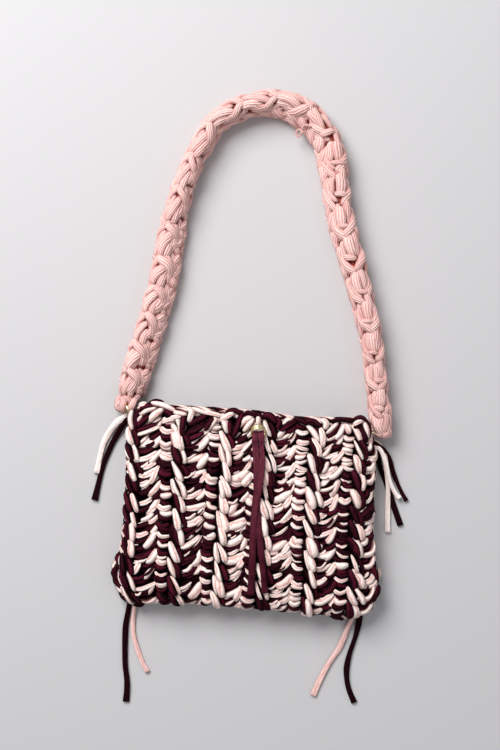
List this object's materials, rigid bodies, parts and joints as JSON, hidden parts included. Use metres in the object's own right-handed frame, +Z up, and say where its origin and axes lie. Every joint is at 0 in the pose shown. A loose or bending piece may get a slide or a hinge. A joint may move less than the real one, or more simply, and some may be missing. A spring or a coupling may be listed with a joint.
{
  "type": "crochet shoulder bag",
  "caption": "Crochet pouch of thick jersey yarn with a crocheted shoulder strap on rings, a hanging tie and loose yarn ends, lying on its back.",
  "frame": {"origin": "on the pouch's back where it rests, under the middle of the pouch", "axes": "+Z up out of the pouch's face, +Y from the pouch towards the strap, +X to the right of the face"},
  "size_m": [0.3222, 0.6197, 0.0461],
  "materials": {
    "blush_yarn": "cotton jersey yarn, matt, pale pink; the pouch also carries maroon yarn",
    "maroon_yarn": "cotton jersey yarn, matt, maroon",
    "salmon_yarn": "soft cotton yarn of several plies, matt, salmon pink",
    "gold_wire": "pale gold plating, polished"
  },
  "bodies": {
    "root": {"pouch": "blush_yarn", "strap": "salmon_yarn", "strap_ring_left": "gold_wire", "strap_ring_right": "gold_wire", "tie_ring": "gold_wire", "tie": "maroon_yarn", "tails_top_left": "blush_yarn", "tails_top_right": "blush_yarn", "tails_bottom_left": "blush_yarn", "tails_bottom_right": "blush_yarn"}
  },
  "joints": []
}
